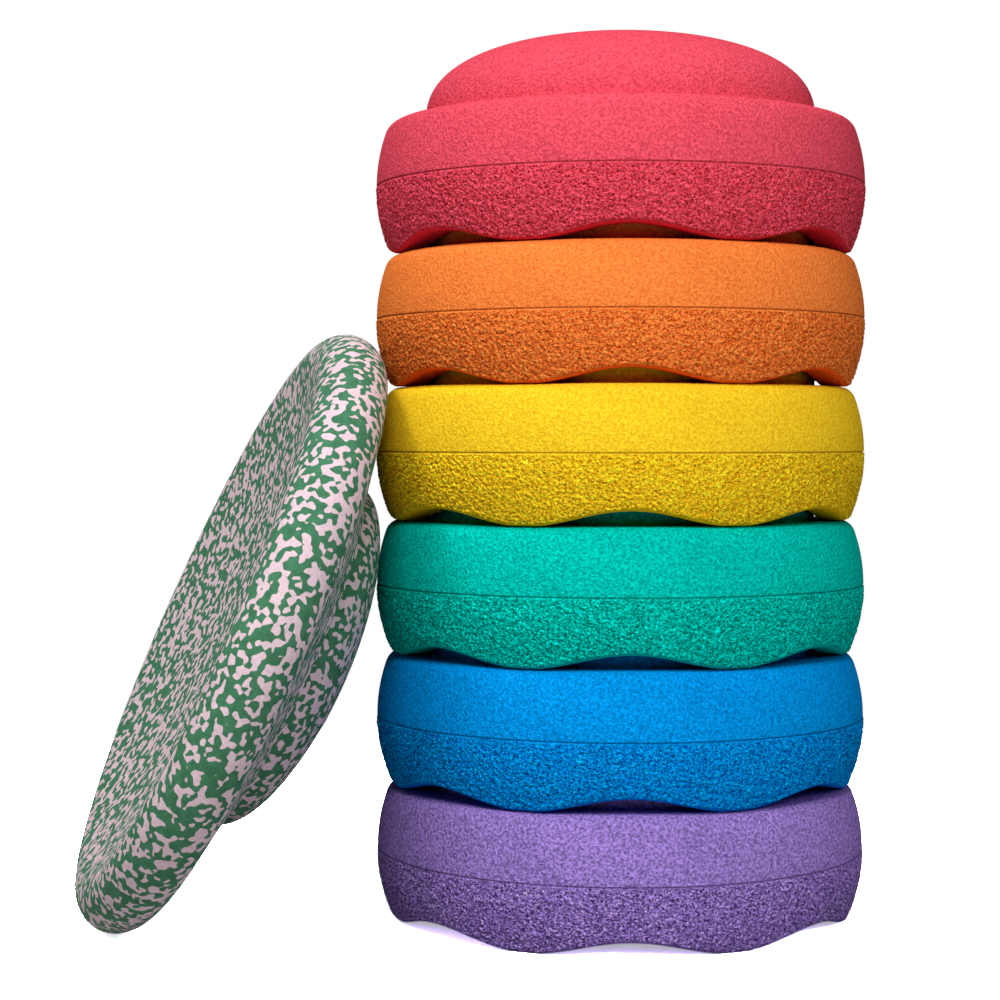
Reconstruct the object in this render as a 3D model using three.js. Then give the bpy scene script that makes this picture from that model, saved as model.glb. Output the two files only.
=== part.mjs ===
// A set of six nesting stepping stones and one round rocker board, in moulded bead foam.
// Lengths are in millimetres, angles in degrees. +Z is up and -Y faces the viewer.
import * as THREE from 'three';

// Stones, all six alike
const STONE_DIAMETER = 275;
const SEAM_HEIGHT = 38;
const LEDGE_HEIGHT = 74;
const WALL_CROWN_RADIUS = 90;
const SHOULDER_RADIUS = 9;
const LEDGE_FLAT_WIDTH = 14;
const DOME_HEIGHT = 48.5;
const ROOF_THICKNESS = 30;
const SEAM_GROOVE_WIDTH = 1.6;
const SEAM_GROOVE_DEPTH = 0.8;

// Wavy foot rim of a stone
const RIM_WAVES = 7;
const ARCH_HEIGHT = 8;
const FOOT_TRIM = 0.45;
const OUTER_LIP_RADIUS = 3.5;
const INNER_LIP_RADIUS = 2.5;

// How the stones sit on each other
const NEST_CLEARANCE = 3.5;
const SEAT_GAP = 0.3;

// Rocker board
const BOARD_DIAMETER = 354;
const BOARD_EDGE_RADIUS = 19;
const DISH_DEPTH = 25;
const UNDERSIDE_SLOPE = 14;
const BELLY_DIAMETER = 204;
const BELLY_DEPTH = 34;

// How the board leans on the stack
const BOARD_LEAN = 65.7;
const BOARD_TURN = 12.8;
const BOARD_FORWARD = 50;

// Facet counts
const SEGMENTS_PER_WAVE = 7;
const DOME_STEPS = 5;
const SHOULDER_STEPS = 2;
const WALL_STEPS = 2;
const LIP_STEPS = 2;
const HOLLOW_STEPS = 4;
const BOARD_SEGMENTS = 56;
const DISH_STEPS = 3;
const EDGE_STEPS = 9;
const BELLY_STEPS = 5;

// How square the dome and the hollow are: 2 is an ellipse, more is boxier
const DOME_WIDTH_POWER = 2.3;
const DOME_HEIGHT_POWER = 2.5;

const STONES = [
  { name: 'purple_stone', color: 0x7a57a6 },
  { name: 'blue_stone', color: 0x0871c4 },
  { name: 'teal_stone', color: 0x05a887 },
  { name: 'yellow_stone', color: 0xf5bd10 },
  { name: 'orange_stone', color: 0xf0682a },
  { name: 'red_stone', color: 0xd23a52 },
];
const BOARD = { name: 'rocker_board', color: 0x9fb8a4 };
const FOAM_ROUGHNESS = 0.9;

// Sizes that follow from the driving ones
const stoneRadius = STONE_DIAMETER / 2;
const stackPitch = LEDGE_HEIGHT + SEAT_GAP;
const wallCentreRadius = stoneRadius - WALL_CROWN_RADIUS;
const shoulderCentre = wallFilletCentre(SHOULDER_RADIUS, LEDGE_HEIGHT - SHOULDER_RADIUS);
const domeRadius = shoulderCentre.x - LEDGE_FLAT_WIDTH;
const hollowRadius = domeRadius + NEST_CLEARANCE;
const hollowDepth = LEDGE_HEIGHT + DOME_HEIGHT - ROOF_THICKNESS;
const edgeCentreRadius = BOARD_DIAMETER / 2 - BOARD_EDGE_RADIUS;
const bellyRadius = BELLY_DIAMETER / 2;

function radians(degrees) {
  return THREE.MathUtils.degToRad(degrees);
}

// Centre of a rounding that runs into the barrel-shaped wall from inside it, at a given height.
function wallFilletCentre(radius, height) {
  const reach = WALL_CROWN_RADIUS - radius;
  const rise = height - SEAM_HEIGHT;
  return new THREE.Vector2(wallCentreRadius + Math.sqrt(reach * reach - rise * rise), height);
}

// Points on an arc about a centre, both ends included. Angles are in radians from the radial direction.
function arcPoints(centre, radius, start, end, steps) {
  const points = [];
  for (let i = 0; i <= steps; i += 1) {
    const angle = start + ((end - start) * i) / steps;
    points.push(new THREE.Vector2(centre.x + radius * Math.cos(angle), centre.y + radius * Math.sin(angle)));
  }
  return points;
}

// Quarter of a squarish ellipse, from the axis out to its full radius, both ends included.
function domePoints(radius, height, base, steps) {
  const points = [];
  for (let i = 0; i <= steps; i += 1) {
    const angle = (Math.PI / 2) * (1 - i / steps);
    const r = i === 0 ? 0 : radius * Math.cos(angle) ** (2 / DOME_WIDTH_POWER);
    points.push(new THREE.Vector2(r, base + height * Math.sin(angle) ** (2 / DOME_HEIGHT_POWER)));
  }
  return points;
}

// Height of the foot rim at an angle from the viewer's side: an arch there, and flat feet between arches.
function rimHeight(angle) {
  const crest = (1 + Math.cos(RIM_WAVES * angle)) / 2;
  return Math.max(0, (ARCH_HEIGHT + FOOT_TRIM) * crest - FOOT_TRIM);
}

// Half section of a stone where its rim has the given height, from the top of the dome
// down the outside, round the foot and up into the hollow.
function stoneProfile(rim) {
  const wallCentre = new THREE.Vector2(wallCentreRadius, SEAM_HEIGHT);
  const lipCentre = wallFilletCentre(OUTER_LIP_RADIUS, rim + OUTER_LIP_RADIUS);
  const shoulderAngle = shoulderCentre.clone().sub(wallCentre).angle();
  const lipAngle = lipCentre.clone().sub(wallCentre).angle() - 2 * Math.PI;
  const grooveAngle = SEAM_GROOVE_WIDTH / 2 / WALL_CROWN_RADIUS;
  const innerLipCentre = new THREE.Vector2(hollowRadius + INNER_LIP_RADIUS, rim + INNER_LIP_RADIUS);
  const dome = domePoints(domeRadius, DOME_HEIGHT, LEDGE_HEIGHT, DOME_STEPS);
  const shoulder = arcPoints(shoulderCentre, SHOULDER_RADIUS, Math.PI / 2, shoulderAngle, SHOULDER_STEPS);
  const upperWall = arcPoints(wallCentre, WALL_CROWN_RADIUS, shoulderAngle, grooveAngle, WALL_STEPS);
  const groove = new THREE.Vector2(stoneRadius - SEAM_GROOVE_DEPTH, SEAM_HEIGHT);
  const lowerWall = arcPoints(wallCentre, WALL_CROWN_RADIUS, -grooveAngle, lipAngle, WALL_STEPS);
  const outerLip = arcPoints(lipCentre, OUTER_LIP_RADIUS, lipAngle, -Math.PI / 2, LIP_STEPS);
  const innerLip = arcPoints(innerLipCentre, INNER_LIP_RADIUS, -Math.PI / 2, -Math.PI, LIP_STEPS);
  const hollowBase = rim + INNER_LIP_RADIUS;
  const hollow = domePoints(hollowRadius, hollowDepth - hollowBase, hollowBase, HOLLOW_STEPS).reverse();
  return [
    ...dome,
    ...shoulder,
    ...upperWall.slice(1),
    groove,
    ...lowerWall,
    ...outerLip.slice(1),
    ...innerLip,
    ...hollow.slice(1),
  ];
}

// Half section of the board lying dish up, about the centre of its rounded edge: from the middle
// of the dish, over the edge, along the sloping underside and round the belly.
function boardProfile() {
  const edgeCentre = new THREE.Vector2(edgeCentreRadius, 0);
  const dishReach = (edgeCentreRadius ** 2 + DISH_DEPTH ** 2) / (2 * DISH_DEPTH);
  const dishCentre = new THREE.Vector2(0, dishReach - DISH_DEPTH);
  const dishAngle = Math.asin(edgeCentreRadius / dishReach);
  const dish = arcPoints(dishCentre, dishReach - BOARD_EDGE_RADIUS, -Math.PI / 2, dishAngle - Math.PI / 2, DISH_STEPS);
  const slope = radians(UNDERSIDE_SLOPE);
  const edge = arcPoints(edgeCentre, BOARD_EDGE_RADIUS, Math.PI / 2 + dishAngle, slope - Math.PI / 2, EDGE_STEPS);
  const edgeEnd = edge[edge.length - 1];
  const creaseHeight = edgeEnd.y - (edgeEnd.x - bellyRadius) * Math.tan(slope);
  const belly = [];
  for (let i = 0; i <= BELLY_STEPS; i += 1) {
    const angle = ((Math.PI / 2) * i) / BELLY_STEPS;
    const r = i === BELLY_STEPS ? 0 : bellyRadius * Math.cos(angle);
    belly.push(new THREE.Vector2(r, creaseHeight - BELLY_DEPTH * Math.sin(angle)));
  }
  dish[0].x = 0;
  return [...dish, ...edge.slice(1), ...belly];
}

// Closed surface about Z. profileAt gives the half section at an angle from -Y, with as many
// points at every angle, the first and last of them on the axis.
function revolvedGeometry(segments, profileAt) {
  const profiles = [];
  for (let i = 0; i < segments; i += 1) {
    profiles.push(profileAt((2 * Math.PI * i) / segments));
  }
  const rings = profiles[0].length - 2;
  const positions = [0, 0, profiles[0][0].y];
  for (let ring = 1; ring <= rings; ring += 1) {
    profiles.forEach((profile, i) => {
      const angle = (2 * Math.PI * i) / segments;
      const { x: r, y: z } = profile[ring];
      positions.push(r * Math.sin(angle), -r * Math.cos(angle), z);
    });
  }
  positions.push(0, 0, profiles[0][rings + 1].y);
  const lowerPole = positions.length / 3 - 1;
  const indices = [];
  for (let i = 0; i < segments; i += 1) {
    const next = (i + 1) % segments;
    indices.push(0, 1 + i, 1 + next);
    for (let ring = 0; ring < rings - 1; ring += 1) {
      const upper = 1 + ring * segments;
      const lower = upper + segments;
      indices.push(upper + i, lower + i, lower + next);
      indices.push(upper + i, lower + next, upper + next);
    }
    const last = 1 + (rings - 1) * segments;
    indices.push(last + i, lowerPole, last + next);
  }
  const geometry = new THREE.BufferGeometry();
  geometry.setAttribute('position', new THREE.Float32BufferAttribute(positions, 3));
  geometry.setIndex(indices);
  geometry.computeVertexNormals();
  return geometry;
}

function foamMesh({ name, color }, geometry) {
  const material = new THREE.MeshStandardMaterial({ color, roughness: FOAM_ROUGHNESS, metalness: 0 });
  const mesh = new THREE.Mesh(geometry, material);
  mesh.name = name;
  return mesh;
}

// Six stones, each with its feet on the ledge of the one below and its hollow over that one's dome.
function makeStack() {
  const stack = new THREE.Group();
  STONES.forEach((stone, level) => {
    const geometry = revolvedGeometry(RIM_WAVES * SEGMENTS_PER_WAVE, (angle) => stoneProfile(rimHeight(angle)));
    const mesh = foamMesh(stone, geometry);
    mesh.position.z = level * stackPitch;
    stack.add(mesh);
  });
  return stack;
}

// The board, standing on its edge and leaning toward +X. The group's origin is the centre of the
// edge rounding where it meets the floor, the point about which the board tips.
function makeLeaningBoard() {
  const mesh = foamMesh(BOARD, revolvedGeometry(BOARD_SEGMENTS, boardProfile));
  mesh.position.x = edgeCentreRadius;
  const lean = new THREE.Group();
  lean.rotation.y = radians(-BOARD_LEAN);
  lean.add(mesh);
  const turn = new THREE.Group();
  turn.rotation.z = radians(BOARD_TURN);
  turn.add(lean);
  turn.position.set(0, -BOARD_FORWARD, BOARD_EDGE_RADIUS);
  return turn;
}

// Slides the board along X until it is a seat gap clear of the upright cylinder round the stones'
// widest lines, so that a stone can be lifted past it.
function leanOnStack(board) {
  board.updateMatrixWorld(true);
  const mesh = board.getObjectByName(BOARD.name);
  const points = mesh.geometry.getAttribute('position');
  const point = new THREE.Vector3();
  const reach = stoneRadius + SEAT_GAP;
  let shift = Infinity;
  for (let i = 0; i < points.count; i += 1) {
    point.fromBufferAttribute(points, i).applyMatrix4(mesh.matrixWorld);
    if (Math.abs(point.y) < reach) {
      shift = Math.min(shift, -Math.sqrt(reach * reach - point.y * point.y) - point.x);
    }
  }
  board.position.x += shift;
}

const set = new THREE.Group();
const board = makeLeaningBoard();
leanOnStack(board);
set.add(makeStack(), board);

// The origin is the middle of the set's footprint, on the floor.
set.updateMatrixWorld(true);
const bounds = new THREE.Box3().setFromObject(set, true);
const middle = bounds.getCenter(new THREE.Vector3());
set.position.set(-middle.x, -middle.y, -bounds.min.z);
set.updateMatrixWorld(true);

export default set;
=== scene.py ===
# Looks of six nesting stepping stones and a rocker board, all in moulded bead foam.
# Lengths are in metres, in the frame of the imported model.
import math

import bpy
import numpy as np
from mathutils import Matrix, Vector, noise


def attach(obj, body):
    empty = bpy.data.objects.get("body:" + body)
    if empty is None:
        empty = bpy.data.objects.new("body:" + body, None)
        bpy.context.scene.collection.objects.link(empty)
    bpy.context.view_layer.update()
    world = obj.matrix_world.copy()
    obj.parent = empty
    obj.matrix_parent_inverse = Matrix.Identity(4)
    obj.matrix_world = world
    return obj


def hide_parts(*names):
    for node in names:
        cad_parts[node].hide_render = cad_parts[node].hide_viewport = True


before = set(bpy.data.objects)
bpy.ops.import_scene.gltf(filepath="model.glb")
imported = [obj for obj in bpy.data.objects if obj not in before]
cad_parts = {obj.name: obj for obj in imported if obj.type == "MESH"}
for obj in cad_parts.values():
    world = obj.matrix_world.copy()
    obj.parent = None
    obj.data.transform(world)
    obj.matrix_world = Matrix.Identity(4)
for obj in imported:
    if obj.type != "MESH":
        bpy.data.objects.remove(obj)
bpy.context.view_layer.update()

DOWN = -math.pi / 2
UP = math.pi / 2

# Stones, all six alike
STONE_RADIUS = 0.1375
SEAM_HEIGHT = 0.038
LEDGE_HEIGHT = 0.074
WALL_CROWN = 0.090
WALL_CENTRE = STONE_RADIUS - WALL_CROWN
SHOULDER = 0.009
LEDGE_FLAT = 0.014
DOME_HEIGHT = 0.0485
DOME_WIDTH_POWER = 2.3
DOME_HEIGHT_POWER = 2.5
DOME_FOOT_FILLET = 0.0018
ROOF = 0.030
NEST_CLEARANCE = 0.0035
SEAT_GAP = 0.0003
GROOVE_WIDTH = 0.0011
GROOVE_DEPTH = 0.0006
GROOVE_FLOOR_HALF = GROOVE_WIDTH / 8

# Wavy foot rim
WAVES = 7
ARCH = 0.008
FOOT_TRIM = 0.00045
OUTER_LIP = 0.0035
INNER_LIP = 0.0025

# Segments round a stone: in the grained band, on the walls, and on the dome and in the hollow
BAND_SEGMENTS = 1232
WALL_SEGMENTS = 308
DOME_SEGMENTS = 154

# Steps along a stone's section. A power under 1 makes the dome's steps wider near its foot.
DOME_STEPS = 46
DOME_STEP_POWER = 0.9
FILLET_STEPS = 3
LEDGE_STEPS = 4
SHOULDER_STEPS = 7
WALL_STEPS = 13
BAND_STEPS = 48
LIP_STEPS = 7
INNER_LIP_STEPS = 4
HOLLOW_STEPS = 29

# End of the wall and rings next to the seam, in half groove widths above it, and rings across the
# foot, in shares of the way from the outer lip to the inner one. A ring comes with its segments.
WALL_END = 2.5
GROOVE_RINGS = ((1.5, BAND_SEGMENTS // 2), (1.0, BAND_SEGMENTS))
FOOT_RINGS = ((0.1, BAND_SEGMENTS // 2), (0.4, WALL_SEGMENTS), (0.7, WALL_SEGMENTS))

# Grain below the seam: from pit to ridge, across one grain, how much it is pressed flat, which
# height stays on the plain wall, and how far apart in the pattern two stones are
GRAIN_DEPTH = 0.0014
GRAIN_SIZE = 0.0015
GRAIN_FLATNESS = 1.3
GRAIN_LEVEL = 0.6
GRAIN_SHIFT = 0.37

# Height of the grain: its middle, what large and small grains add, and how much finer small ones are
GRAIN_MIDDLE = 0.5
LARGE_GRAIN = 0.85
SMALL_GRAIN = 0.35
SMALL_GRAIN_FINENESS = 1.9

# Length over which the grain sets in below the groove, and shares of the outer lip at which it
# ends and over which it fades out
GRAIN_FADE = 0.0003
GRAIN_END_ON_LIP = 0.45
GRAIN_FADE_ON_LIP = 0.15

# Rocker board, about the centre of its edge rounding. The underside slopes to a margin outside the
# belly, and the belly's arc leaves out a first share of its quarter turn.
BOARD_RADIUS = 0.177
BOARD_EDGE = 0.019
DISH_DEPTH = 0.025
UNDERSIDE_SLOPE = math.radians(14)
BELLY_RADIUS = 0.102
BELLY_DEPTH = 0.034
CREASE_MARGIN = 0.003
BELLY_START = 0.03
BOARD_LEAN = math.radians(65.7)
BOARD_TURN = math.radians(12.8)
BOARD_SEGMENTS = 420
DISH_STEPS = 30
EDGE_STEPS = 28
UNDERSIDE_STEPS = 8
BELLY_STEPS = 39

# Where the pieces stand
STACK_X = 0.086195
STACK_Y = 0.035558
BOARD_HINGE = Vector((-0.195773, -0.014441, 0.019))
PITCH = LEDGE_HEIGHT + SEAT_GAP

# Names, bottom to top, with each foam's colour and how strongly its grain shows above and below
# the seam. Below the seam this also sets the painted shade in the grain's valleys and painted light
# on its ridges.
STONES = [
    ("purple", (0.322, 0.206, 0.582), 2.55, 2.45),
    ("blue", (0.001, 0.292, 0.755), 1.62, 1.74),
    ("teal", (0.001, 0.512, 0.428), 1.90, 1.95),
    ("yellow", (0.960, 0.578, 0.021), 1.04, 1.31),
    ("orange", (0.945, 0.228, 0.047), 1.12, 1.36),
    ("red", (0.745, 0.077, 0.118), 1.32, 1.62),
]

# Parts of a noise's range that the patterns use
MIDDLE = (0.35, 0.65)
WIDE = (0.30, 0.70)
CRUMPLE_SPAN = (0.36, 0.64)

# Foam of the stones: how fine each pattern is, how far the patterns change the colour, the painted
# shade in the grain's valleys, the painted light on its ridges, the painted shade and colour bleed
# on the smooth lips, the painted shade in the groove, and the relief
FINE_SCALE = 680
BLOTCH_SCALE = 330
CLOUD_SCALE = 28
CRUMPLE_SCALE = 800
FINE_SPREAD = 0.18
FINE_SATURATION = 0.1
BLOTCH_SHARE = 0.14
BLOTCH_TONE = 0.45
CLOUD_SHARE = 0.06
CLOUD_TONE = 0.4
# Painted shade in the valleys of the lower grain and painted light on its ridges
VALLEY_PAINTED_SHADE = 0.29
VALLEY_SHADE_SATURATION = 0.66
RIDGE_PAINTED_LIGHT = 0.52
# Painted shade and colour bleed on the smooth lips and the rim's underside
LIP_SHADE_SHARE = 0.9
LIP_SHADE_TONE = 0.9
LIP_BLEED_SATURATION = 0.5
# Painted shade in the seam's groove
GROOVE_SHADE_SHARE = 0.70
GROOVE_SHADE_TONE = 0.30
GROOVE_SHADE_SATURATION = 0.25
FOAM_ROUGHNESS = 0.90
FOAM_RELIEF = 0.0009
FINE_RELIEF_POWER = 0.7

# Foam of the board: its two colours of beads and their tones, dark specks, gloss and relief
GREEN = (0.053, 0.188, 0.098)
PINK = (0.730, 0.545, 0.610)
GREEN_TONES = (0.85, 1.14)
PINK_TONES = (0.95, 1.05)
BEAD = 0.0043
BEAD_SMOOTHNESS = 0.55
GREEN_BEADS_AT = (0.313, 0.171, 0.097)
PINK_BEADS_AT = (0.713, 0.571, 0.397)
GREEN_EDGE = -0.04
EDGE_SOFTNESS = 0.02
BOARD_FINE_SCALE = 600
BOARD_BLOTCH_SCALE = 190
SPECK = (0.02, 0.03, 0.02, 1.0)
SPECK_SHARE = 0.14
BOARD_ROUGHNESS = (0.85, 0.70)
BOARD_SPECULAR = 0.08
BOARD_BUMP = 0.6
BOARD_RELIEF = 0.0008

# Camera, at the photograph's place and almost level
CAMERA_PLACE = (0.01845, -1.29454, 0.269)
CAMERA_TILT = math.radians(90 - 1.54)
CAMERA_LENS = 84.24
SENSOR_WIDTH = 36

# Floor: half size, drop below the feet, share of light that it throws back on the object, how
# bright it is to the camera, how much of it is plain white next to the object, and the distances
# between which it turns all white
FLOOR_REACH = 12.0
FLOOR_DROP = 0.0002
FLOOR_BOUNCE = 0.50
FLOOR_LOOK = 65.0
FLOOR_GLOW = 0.4
FLOOR_FADE = (0.40, 0.90)

# Light from all round, and lamps: name, azimuth, elevation, size and power. Azimuth 0 is over the
# camera, and more is further to its right.
WORLD_LIGHT = 0.01
LAMP_AIM = Vector((0.03, 0, 0.22))
LAMP_DISTANCE = 2.4
LAMPS = [
    ("key", 0, 45, 0.7, 35),
    ("top_left", -76, 66, 0.3, 21),
    ("front_left", -30, 45, 0.7, 17.5),
    ("right", 30, 25, 0.7, 13.5),
]


# Curves of the sections
def fillet_centre(radius, height):
    """Distance from the axis at which a rounding inside the barrel-shaped wall has its centre."""
    reach = WALL_CROWN - radius
    return WALL_CENTRE + np.sqrt(reach ** 2 - (height - SEAM_HEIGHT) ** 2)


def arc(centre, radius, start, end, steps):
    """Points of an arc in the half section, both ends included."""
    points = []
    for share in np.linspace(0, 1, steps + 1):
        angle = start + (end - start) * share
        points.append((centre[0] + radius * np.cos(angle), centre[1] + radius * np.sin(angle)))
    return points


def squarish(radius, height, base, share):
    """Point of a squarish quarter ellipse, at its full radius for share 0 and on the axis for 1."""
    angle = UP * share
    r = radius * math.cos(angle) ** (2 / DOME_WIDTH_POWER)
    z = base + height * math.sin(angle) ** (2 / DOME_HEIGHT_POWER)
    return r, z


def rim_height(angle):
    """Height of the foot rim over the floor, 0 on the flat feet and highest under the arches."""
    crest = (1 + np.cos(WAVES * angle)) / 2
    return np.maximum(0, (ARCH + FOOT_TRIM) * crest - FOOT_TRIM)


def grain(point):
    """Height of the leathery grain at a point, from 0 in a pit to 1 on a ridge."""
    place = Vector((point[0], point[1], point[2] * GRAIN_FLATNESS)) / GRAIN_SIZE
    large = noise.noise(place)
    small = noise.noise(place * SMALL_GRAIN_FINENESS)
    return min(1, max(0, GRAIN_MIDDLE + LARGE_GRAIN * large + SMALL_GRAIN * small))


# A stone's section, as it follows from the sizes: distances from the axis, heights and angles. What
# the wavy rim changes has one value for each of the angles round the stone.
SHOULDER_Z = LEDGE_HEIGHT - SHOULDER
SHOULDER_X = float(fillet_centre(SHOULDER, SHOULDER_Z))
SHOULDER_ANGLE = math.atan2(SHOULDER_Z - SEAM_HEIGHT, SHOULDER_X - WALL_CENTRE)
DOME_RADIUS = SHOULDER_X - LEDGE_FLAT
HOLLOW_RADIUS = DOME_RADIUS + NEST_CLEARANCE
HOLLOW_TOP = LEDGE_HEIGHT + DOME_HEIGHT - ROOF
GROOVE_ANGLE = GROOVE_WIDTH / 2 / WALL_CROWN
ANGLES = np.arange(BAND_SEGMENTS) * (2 * math.pi / BAND_SEGMENTS)
RIM = rim_height(ANGLES)
LIP_Z = RIM + OUTER_LIP
LIP_X = fillet_centre(OUTER_LIP, LIP_Z)
LIP_ANGLE = np.arctan2(LIP_Z - SEAM_HEIGHT, LIP_X - WALL_CENTRE)
INNER_X = HOLLOW_RADIUS + INNER_LIP
INNER_Z = RIM + INNER_LIP


# Surfaces through rings
def turned(angle, r, z):
    """Points of one ring, at angles from the viewer's side."""
    return np.stack([r * np.sin(angle), -r * np.cos(angle), z + 0 * angle], axis=1)


def faces_between(u, a, v, b):
    """Faces from a ring of a points, numbered from u, to one of b points, numbered from v."""
    if a == 1:
        return [(u, v + i, v + (i + 1) % b) for i in range(b)]
    if b == 1:
        return [(u + i, v, u + (i + 1) % a) for i in range(a)]
    if a == b:
        return [(u + i, v + i, v + (i + 1) % b, u + (i + 1) % a) for i in range(a)]

    # One ring has twice as many points: three triangles for each point of the other one
    faces = []
    for i in range(min(a, b)):
        m = (i + 1) % min(a, b)
        n = (2 * i + 2) % max(a, b)
        if a > b:
            faces.append((u + 2 * i, v + i, u + 2 * i + 1))
            faces.append((u + 2 * i + 1, v + i, v + m))
            faces.append((u + 2 * i + 1, v + m, u + n))
        else:
            faces.append((u + i, v + 2 * i, v + 2 * i + 1))
            faces.append((u + i, v + 2 * i + 1, u + m))
            faces.append((u + m, v + 2 * i + 1, v + n))
    return faces


def mesh_object(name, rings, weights):
    """Closed surface through rings about an axis, from one pole to the other. A ring has as many
    points as its neighbour, twice as many or half as many."""
    first = np.cumsum([0] + [len(ring) for ring in rings])
    faces = []
    for k in range(len(rings) - 1):
        faces += faces_between(int(first[k]), len(rings[k]), int(first[k + 1]), len(rings[k + 1]))
    mesh = bpy.data.meshes.new(name)
    mesh.from_pydata(np.concatenate(rings).tolist(), [], faces)
    for label, values in weights.items():
        layer = mesh.attributes.new(label, "FLOAT", "POINT")
        layer.data.foreach_set("value", np.concatenate(values).astype(np.float32))
    mesh.shade_smooth()
    made = bpy.data.objects.new(name, mesh)
    bpy.context.scene.collection.objects.link(made)
    return made


# Stones
class StoneRings:
    """Rings of one stone, and weights at each of their points: coarse for the grain and the painted
    shade and light in it, groove shade for the painted shade in the seam's groove, lip shade for the
    painted shade and colour bleed on the smooth lips. The shift gives a stone a grain of its own."""

    def __init__(self, shift):
        self.shift = shift
        self.rings = []
        self.weights = {"coarse": [], "pit": [], "skin": []}

    def add(self, r, z, segments, **given):
        """Adds a ring. Each value is one number or has one for each angle round the stone."""
        step = BAND_SEGMENTS // segments
        r = np.broadcast_to(r, ANGLES.shape)[::step]
        z = np.broadcast_to(z, ANGLES.shape)[::step]
        self.rings.append(turned(ANGLES[::step], r, z))
        for label, values in self.weights.items():
            values.append(np.broadcast_to(given.get(label, 0), ANGLES.shape)[::step])

    def add_pole(self, z):
        self.rings.append(np.array([[0, 0, z]]))
        for values in self.weights.values():
            values.append(np.zeros(1))

    def add_grained(self, centre, radius, angle, coarse, skin=0):
        """Adds a ring on a rounding, sunk into it or raised out of it by the grain."""
        r = centre[0] + radius * np.cos(angle)
        z = centre[1] + radius * np.sin(angle)
        height = np.array([grain((x, y, h + self.shift)) for x, y, h in turned(ANGLES, r, z)])
        drop = GRAIN_DEPTH * (GRAIN_LEVEL - height) * coarse
        r = r - drop * np.cos(angle)
        z = z - drop * np.sin(angle)
        self.add(r, z, BAND_SEGMENTS, coarse=coarse, skin=skin)


def add_dome(stone):
    """Dome, from its top down to the fillet on the ledge."""
    stone.add_pole(LEDGE_HEIGHT + DOME_HEIGHT)
    for share in np.linspace(0, 1, DOME_STEPS + 1)[-2::-1]:
        r, z = squarish(DOME_RADIUS, DOME_HEIGHT, LEDGE_HEIGHT, share ** DOME_STEP_POWER)
        if z > LEDGE_HEIGHT + DOME_FOOT_FILLET:
            stone.add(r, z, DOME_SEGMENTS)
    fillet = (DOME_RADIUS + DOME_FOOT_FILLET, LEDGE_HEIGHT + DOME_FOOT_FILLET)
    for r, z in arc(fillet, DOME_FOOT_FILLET, -math.pi, DOWN, FILLET_STEPS):
        stone.add(r, z, DOME_SEGMENTS)


def add_wall(stone):
    """Ledge, shoulder and the wall above the seam."""
    for r in np.linspace(DOME_RADIUS + 2 * DOME_FOOT_FILLET, SHOULDER_X, LEDGE_STEPS + 1)[:-1]:
        stone.add(r, LEDGE_HEIGHT, WALL_SEGMENTS)
    for r, z in arc((SHOULDER_X, SHOULDER_Z), SHOULDER, UP, SHOULDER_ANGLE, SHOULDER_STEPS):
        stone.add(r, z, WALL_SEGMENTS)
    centre = (WALL_CENTRE, SEAM_HEIGHT)
    for r, z in arc(centre, WALL_CROWN, SHOULDER_ANGLE, GROOVE_ANGLE * WALL_END, WALL_STEPS)[1:]:
        stone.add(r, z, WALL_SEGMENTS)


def add_seam(stone):
    """Fine groove with crisp sides."""
    for share, segments in GROOVE_RINGS:
        angle = GROOVE_ANGLE * share
        r = WALL_CENTRE + WALL_CROWN * math.cos(angle)
        z = SEAM_HEIGHT + WALL_CROWN * math.sin(angle)
        stone.add(r, z, segments)
    # The groove's floor carries the weight of its painted shade
    for z in (SEAM_HEIGHT + GROOVE_FLOOR_HALF, SEAM_HEIGHT - GROOVE_FLOOR_HALF):
        stone.add(STONE_RADIUS - GROOVE_DEPTH, z, BAND_SEGMENTS, pit=1)


def add_grained_band(stone):
    """Wall below the seam, with the leathery grain."""
    for k in range(BAND_STEPS + 1):
        angle = -GROOVE_ANGLE + (LIP_ANGLE + GROOVE_ANGLE) * (k / BAND_STEPS)
        from_seam = (-GROOVE_ANGLE - angle) * WALL_CROWN
        coarse = np.clip(from_seam / GRAIN_FADE, 0, 1)
        stone.add_grained((WALL_CENTRE, SEAM_HEIGHT), WALL_CROWN, angle, coarse)


def add_foot(stone):
    """Outer lip, grained on its first part and then smooth, underside of the rim, inner lip. The
    smooth parts carry the weight of the painted shade and colour bleed.
    """
    for share in np.linspace(0, 1, LIP_STEPS + 1)[1:]:
        angle = LIP_ANGLE + (DOWN - LIP_ANGLE) * share
        coarse = np.clip((GRAIN_END_ON_LIP - share) / GRAIN_FADE_ON_LIP, 0, 1)
        stone.add_grained((LIP_X, LIP_Z), OUTER_LIP, angle, coarse, skin=1 - coarse)
    # The rim's underside and the inner lip carry the weight of the painted lip shade
    for share, segments in FOOT_RINGS:
        stone.add(LIP_X + (INNER_X - LIP_X) * share, RIM, segments, skin=1)
    for r, z in arc((INNER_X, INNER_Z), INNER_LIP, DOWN, -math.pi, INNER_LIP_STEPS):
        stone.add(r, z, WALL_SEGMENTS, skin=1)


def add_hollow(stone):
    """Hollow, from the inner lip up to its roof."""
    for share in np.linspace(0, 1, HOLLOW_STEPS + 1)[1:-1]:
        r, z = squarish(HOLLOW_RADIUS, HOLLOW_TOP - INNER_Z, INNER_Z, share)
        stone.add(r, z, DOME_SEGMENTS)
    stone.add_pole(HOLLOW_TOP)


def stone_rings(shift):
    """Rings and weights of one stone, from the top of the dome round to the roof of the hollow."""
    stone = StoneRings(shift)
    add_dome(stone)
    add_wall(stone)
    add_seam(stone)
    add_grained_band(stone)
    add_foot(stone)
    add_hollow(stone)
    return stone.rings, stone.weights


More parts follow.
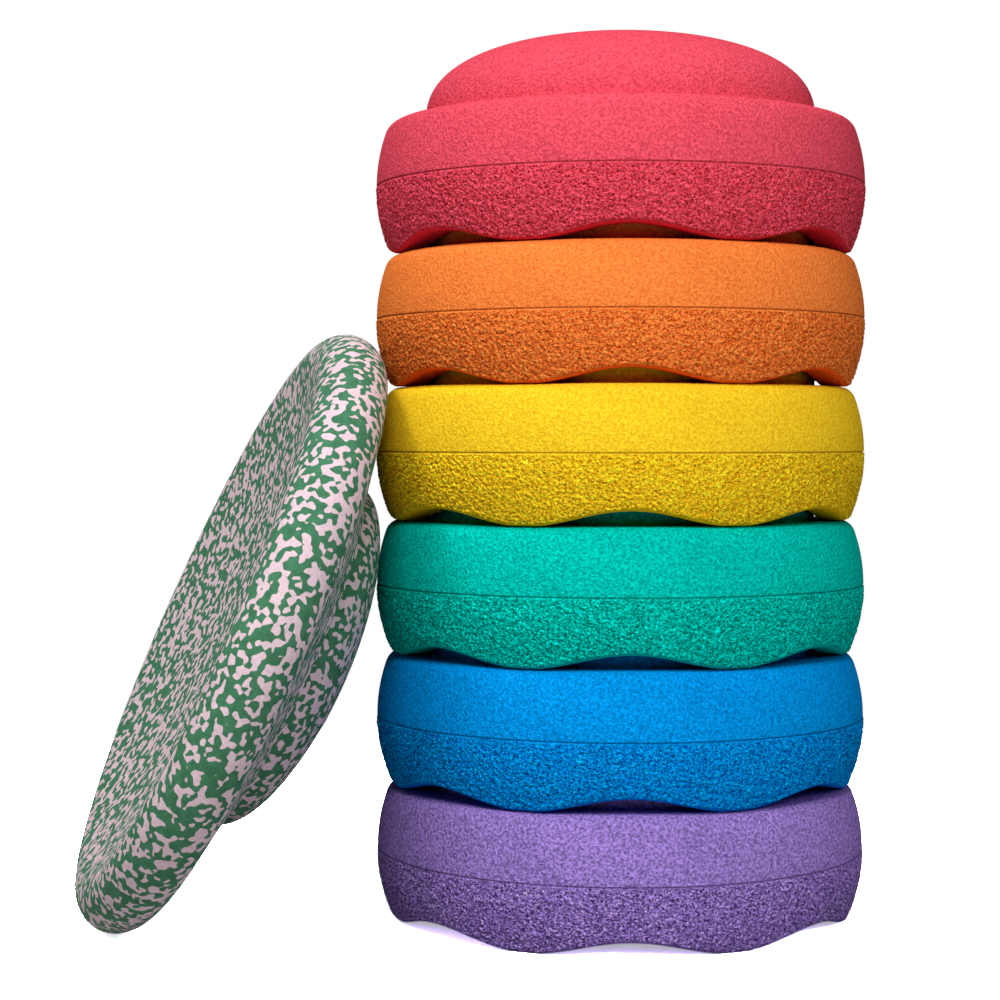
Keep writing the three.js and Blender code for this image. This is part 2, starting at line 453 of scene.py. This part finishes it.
# Rocker board
def dish_and_edge():
    """Half section of the board from the middle of the dish round its edge to the underside."""
    edge_x = BOARD_RADIUS - BOARD_EDGE
    reach = (edge_x ** 2 + DISH_DEPTH ** 2) / (2 * DISH_DEPTH)
    angle = math.asin(edge_x / reach)
    dish = arc((0, reach - DISH_DEPTH), reach - BOARD_EDGE, DOWN, DOWN + angle, DISH_STEPS)
    edge = arc((edge_x, 0), BOARD_EDGE, UP + angle, UNDERSIDE_SLOPE + DOWN, EDGE_STEPS)
    return dish + edge[1:]


def underside_and_belly(end_r, end_z):
    """The rest of the half section, from the end of the edge to the middle of the belly."""
    points = []
    slope = math.tan(UNDERSIDE_SLOPE)
    crease_z = end_z - (end_r - BELLY_RADIUS) * slope
    for share in np.linspace(0, 1, UNDERSIDE_STEPS + 1)[1:-1]:
        r = end_r + (BELLY_RADIUS + CREASE_MARGIN - end_r) * share
        points.append((r, end_z - (end_r - r) * slope))
    for share in np.linspace(0, 1, BELLY_STEPS + 1):
        angle = UP * (BELLY_START + (1 - BELLY_START) * share)
        points.append((BELLY_RADIUS * math.cos(angle), crease_z - BELLY_DEPTH * math.sin(angle)))
    return points


def board_rings():
    """Rings of the board lying dish up, from the middle of the dish round to that of the belly."""
    full = np.arange(BOARD_SEGMENTS) * (2 * math.pi / BOARD_SEGMENTS)
    profile = dish_and_edge()
    profile += underside_and_belly(*profile[-1])
    rings = [np.array([[0, 0, profile[0][1]]])]
    rings += [turned(full, r, z) for r, z in profile[1:-1]]
    rings.append(np.array([[0, 0, profile[-1][1]]]))
    return rings


# Colours
def tone(color, factor):
    """A lighter or darker tone, no lighter than white."""
    return tuple(min(1.0, c * factor) for c in color) + (1.0,)


def deep(color, factor, saturation):
    """A darker tone that is also more saturated."""
    return tuple(c * factor * (c / max(color)) ** saturation for c in color) + (1.0,)


def grey(level):
    return (level, level, level, 1.0)


class Nodes:
    """The nodes of a material or world, made and linked in one call each."""

    def __init__(self, owner):
        owner.use_nodes = True
        self.tree = owner.node_tree

    def link(self, source, target):
        self.tree.links.new(source, target)

    def node(self, kind, inputs=None, **settings):
        made = self.tree.nodes.new("ShaderNode" + kind)
        for key, value in settings.items():
            setattr(made, key, value)
        for key, value in (inputs or {}).items():
            if isinstance(value, bpy.types.NodeSocket):
                self.link(value, made.inputs[key])
            else:
                made.inputs[key].default_value = value
        return made

    def place(self):
        return self.node("TexCoord").outputs["Object"]

    def weight(self, label):
        return self.node("Attribute", attribute_name=label).outputs["Fac"]

    def math(self, operation, a, b, clamp=False):
        return self.node("Math", {0: a, 1: b}, operation=operation, use_clamp=clamp).outputs[0]

    def mix(self, share, a, b, blend="MIX", clamp=False):
        settings = {"data_type": "RGBA", "blend_type": blend, "clamp_result": clamp}
        return self.node("Mix", {0: share, 6: a, 7: b}, **settings).outputs[2]

    def stretch(self, value, span, to=(0.0, 1.0)):
        """One span of a value stretched over another, and held at its ends."""
        inputs = {"Value": value, "From Min": span[0], "From Max": span[1]}
        inputs.update({"To Min": to[0], "To Max": to[1]})
        return self.node("MapRange", inputs).outputs["Result"]

    def noise(self, place, scale, detail, roughness, distortion=0.0):
        inputs = {"Vector": place, "Scale": scale, "Detail": detail}
        inputs.update({"Roughness": roughness, "Distortion": distortion})
        return self.node("TexNoise", inputs).outputs["Fac"]

    def bead_distance(self, place, offset):
        """Smooth distance to the nearest of one colour's beads, in bead sizes."""
        moved = self.node("VectorMath", {0: place, 1: offset}, operation="ADD").outputs[0]
        inputs = {"Vector": moved, "Scale": 1 / BEAD}
        inputs.update({"Smoothness": BEAD_SMOOTHNESS, "Randomness": 1.0})
        return self.node("TexVoronoi", inputs, feature="SMOOTH_F1").outputs["Distance"]

    def bump(self, height, distance, strength=1.0, under=None):
        """Relief that a height gives, on top of another relief if there is one."""
        inputs = {"Strength": strength, "Distance": distance, "Height": height}
        if under is not None:
            inputs["Normal"] = under
        return self.node("Bump", inputs).outputs[0]

    def seen_directly(self):
        """1 for what is seen directly, in a gloss or through glass, 0 for light on the object."""
        path = self.node("LightPath")
        total = path.outputs["Is Camera Ray"]
        for ray in ("Is Glossy Ray", "Is Transmission Ray"):
            total = self.math("ADD", total, path.outputs[ray], clamp=True)
        return total


# Materials
def foam_tint(nodes, place, fine, color, fine_contrast):
    """Colour above the seam: fine grain, darker blotches and faint clouds."""
    blotch = nodes.noise(place, BLOTCH_SCALE, detail=2.0, roughness=0.55)
    cloud = nodes.noise(place, CLOUD_SCALE, detail=3.0, roughness=0.6)
    spread = FINE_SPREAD * fine_contrast
    low = deep(color, 1 - spread, FINE_SATURATION)
    tint = nodes.mix(nodes.stretch(fine, MIDDLE), low, tone(color, 1 + spread))
    blotches = nodes.stretch(blotch, MIDDLE, (BLOTCH_SHARE, 0.0))
    tint = nodes.mix(blotches, tint, tone(color, BLOTCH_TONE))
    clouds = nodes.stretch(cloud, WIDE, (CLOUD_SHARE, 0.0))
    return nodes.mix(clouds, tint, tone(color, CLOUD_TONE))


def crumple_shaded_tint(nodes, tint, crumple, color, coarse_contrast):
    """Colour below the seam: painted shade, darker and more saturated, in the valleys of the bump
    relief, and painted light on its ridges. They multiply the tint, so the valleys' tone is first
    divided by the foam's colour."""
    # Painted shade for the valleys, painted light for the ridges
    valley_shade = deep(color, 1 - VALLEY_PAINTED_SHADE * coarse_contrast, VALLEY_SHADE_SATURATION)
    valley_shade = tuple(v / c for v, c in zip(valley_shade, color)) + (1.0,)
    ridge = grey(1 + RIDGE_PAINTED_LIGHT * coarse_contrast)
    ridges = nodes.mix(nodes.stretch(crumple, CRUMPLE_SPAN), valley_shade, ridge)
    return nodes.mix(1.0, tint, ridges, "MULTIPLY", clamp=True)


def foam_material(name, color, fine_contrast, coarse_contrast):
    """Bead foam in one colour: fine grain above the seam, leathery grain below it with painted shade
    in its valleys and painted light on its ridges, smooth lips with painted shade and colour bleed,
    and painted shade in the seam's groove.
    """
    material = bpy.data.materials.new(name)
    nodes = Nodes(material)
    surface = nodes.tree.nodes["Principled BSDF"]
    place = nodes.place()
    coarse = nodes.weight("coarse")
    flatten = (1, 1, GRAIN_FLATNESS)
    flattened = nodes.node("VectorMath", {0: place, 1: flatten}, operation="MULTIPLY").outputs[0]
    fine = nodes.noise(place, FINE_SCALE, detail=2.0, roughness=0.6)
    crumple = nodes.noise(flattened, CRUMPLE_SCALE, detail=2.0, roughness=0.6, distortion=0.3)

    # Both grains, the lower one with painted shade and light, then the painted shade and colour
    # bleed on the smooth lips and the painted shade in the seam's groove
    tint = foam_tint(nodes, place, fine, color, fine_contrast)
    crumple_shaded = crumple_shaded_tint(nodes, tint, crumple, color, coarse_contrast)
    tint = nodes.mix(coarse, tint, crumple_shaded)
    # Painted shade and colour bleed on the smooth lips and the rim's underside
    lip_shaded = nodes.math("MULTIPLY", nodes.weight("skin"), LIP_SHADE_SHARE)
    tint = nodes.mix(lip_shaded, tint, deep(color, LIP_SHADE_TONE, LIP_BLEED_SATURATION))
    # Painted shade in the seam's groove
    groove_shaded = nodes.math("MULTIPLY", nodes.weight("pit"), GROOVE_SHADE_SHARE)
    tint = nodes.mix(groove_shaded, tint, deep(color, GROOVE_SHADE_TONE, GROOVE_SHADE_SATURATION))
    nodes.link(tint, surface.inputs["Base Color"])
    surface.inputs["Roughness"].default_value = FOAM_ROUGHNESS
    surface.inputs["Specular IOR Level"].default_value = 0.0

    # Relief too fine for the mesh
    upper = nodes.bump(fine, FOAM_RELIEF * fine_contrast ** FINE_RELIEF_POWER)
    height = nodes.math("MULTIPLY", crumple, coarse)
    lower = nodes.bump(height, FOAM_RELIEF * coarse_contrast, under=upper)
    nodes.link(lower, surface.inputs["Normal"])
    return material


def mottled_material(name):
    """Fused foam beads of two colours at random, a few millimetres each, smooth and matt."""
    material = bpy.data.materials.new(name)
    nodes = Nodes(material)
    surface = nodes.tree.nodes["Principled BSDF"]
    place = nodes.place()
    fine = nodes.noise(place, BOARD_FINE_SCALE, detail=2.5, roughness=0.6)
    blotch = nodes.noise(place, BOARD_BLOTCH_SCALE, detail=2.0, roughness=0.5)

    # Each spot has the colour of the nearer bead
    green_beads = nodes.bead_distance(place, GREEN_BEADS_AT)
    pink_beads = nodes.bead_distance(place, PINK_BEADS_AT)
    nearer_green = nodes.math("SUBTRACT", pink_beads, green_beads)
    edge = (GREEN_EDGE + EDGE_SOFTNESS, GREEN_EDGE - EDGE_SOFTNESS)
    pink_here = nodes.stretch(nearer_green, edge)
    blotches = nodes.stretch(blotch, MIDDLE)
    green = nodes.mix(blotches, tone(GREEN, GREEN_TONES[0]), tone(GREEN, GREEN_TONES[1]))
    pink = nodes.mix(blotches, tone(PINK, PINK_TONES[0]), tone(PINK, PINK_TONES[1]))
    tint = nodes.mix(pink_here, green, pink)
    tint = nodes.mix(nodes.stretch(fine, WIDE, (SPECK_SHARE, 0.0)), tint, SPECK)
    nodes.link(tint, surface.inputs["Base Color"])
    nodes.link(nodes.stretch(fine, WIDE, BOARD_ROUGHNESS), surface.inputs["Roughness"])
    surface.inputs["Specular IOR Level"].default_value = BOARD_SPECULAR
    relief = nodes.bump(fine, BOARD_RELIEF, strength=BOARD_BUMP)
    nodes.link(relief, surface.inputs["Normal"])
    return material


# Pieces
def add_stone(level, label, color, fine_contrast, coarse_contrast):
    rings, weights = stone_rings(GRAIN_SHIFT * (level + 1))
    stone = mesh_object(f"{label}_stone_foam", rings, weights)
    stone.location = (STACK_X, STACK_Y, level * PITCH)
    foam = foam_material(f"{label}_foam", color, fine_contrast, coarse_contrast)
    stone.data.materials.append(foam)
    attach(stone, f"{label}_stone")
    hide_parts(f"{label}_stone")


def add_board():
    """The board, turned up on its edge so that it leans towards the stack."""
    board = mesh_object("rocker_board_foam", board_rings(), {})
    board.data.transform(
        Matrix.Translation(BOARD_HINGE)
        @ Matrix.Rotation(BOARD_TURN, 4, "Z")
        @ Matrix.Rotation(-BOARD_LEAN, 4, "Y")
        @ Matrix.Translation((BOARD_RADIUS - BOARD_EDGE, 0, 0))
    )
    board.data.materials.append(mottled_material("mottled_foam"))
    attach(board, "rocker_board")
    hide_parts("rocker_board")


# Studio
def add_camera():
    camera = bpy.data.objects.new("camera", bpy.data.cameras.new("camera"))
    camera.data.lens = CAMERA_LENS
    camera.data.sensor_width = SENSOR_WIDTH
    camera.location = CAMERA_PLACE
    camera.rotation_euler = (CAMERA_TILT, 0, 0)
    bpy.context.scene.collection.objects.link(camera)
    bpy.context.scene.camera = camera


def floor_material():
    """Towards the object the floor throws back half of its light. To the camera it is white but for
    the contact shadow, with some plain white mixed in next to the object, and nothing but plain
    white away from it, so that it has no horizon."""
    material = bpy.data.materials.new("pale_floor")
    nodes = Nodes(material)
    to_camera = nodes.node("LightPath").outputs["Is Camera Ray"]
    lit = nodes.mix(to_camera, grey(FLOOR_BOUNCE), grey(FLOOR_LOOK))
    diffuse = nodes.node("BsdfDiffuse", {"Color": lit}).outputs[0]
    white = nodes.node("Emission", {"Color": grey(1.0), "Strength": 1.0}).outputs[0]
    distance = nodes.node("VectorMath", {0: nodes.place()}, operation="LENGTH").outputs["Value"]
    away = nodes.stretch(distance, FLOOR_FADE, (FLOOR_GLOW, 1.0))
    plain = nodes.math("MULTIPLY", away, nodes.seen_directly())
    both = nodes.node("MixShader", {0: plain, 1: diffuse, 2: white}).outputs[0]
    nodes.link(both, nodes.tree.nodes["Material Output"].inputs["Surface"])
    nodes.tree.nodes.remove(nodes.tree.nodes["Principled BSDF"])
    return material


def add_floor():
    mesh = bpy.data.meshes.new("floor")
    reach = FLOOR_REACH
    corners = [(-reach, -reach, 0), (reach, -reach, 0), (reach, reach, 0), (-reach, reach, 0)]
    mesh.from_pydata(corners, [], [(0, 1, 2, 3)])
    floor = bpy.data.objects.new("floor", mesh)
    floor.location.z = -FLOOR_DROP
    bpy.context.scene.collection.objects.link(floor)
    mesh.materials.append(floor_material())


def set_world():
    """Surround that looks white and sheds a little even light."""
    world = bpy.data.worlds.new("studio")
    bpy.context.scene.world = world
    nodes = Nodes(world)
    background = nodes.tree.nodes["Background"]
    background.inputs["Color"].default_value = grey(1.0)
    inputs = {0: nodes.seen_directly(), 2: WORLD_LIGHT, 3: 1.0}
    strength = nodes.node("Mix", inputs, data_type="FLOAT").outputs[0]
    nodes.link(strength, background.inputs["Strength"])


def add_lamp(name, azimuth, elevation, size, power):
    """Square soft box."""
    turn = math.radians(azimuth)
    rise = math.radians(elevation)
    across = math.cos(rise)
    toward = Vector((math.sin(turn) * across, -math.cos(turn) * across, math.sin(rise)))
    lamp = bpy.data.objects.new(name, bpy.data.lights.new(name, "AREA"))
    lamp.data.shape = "SQUARE"
    lamp.data.size = size
    lamp.data.energy = power
    lamp.location = LAMP_AIM + toward * LAMP_DISTANCE
    lamp.rotation_euler = toward.to_track_quat("Z", "Y").to_euler()
    bpy.context.scene.collection.objects.link(lamp)


for level, stone in enumerate(STONES):
    add_stone(level, *stone)
add_board()
add_camera()
add_floor()
set_world()
for lamp in LAMPS:
    add_lamp(*lamp)

bpy.context.scene.view_settings.view_transform = "Standard"
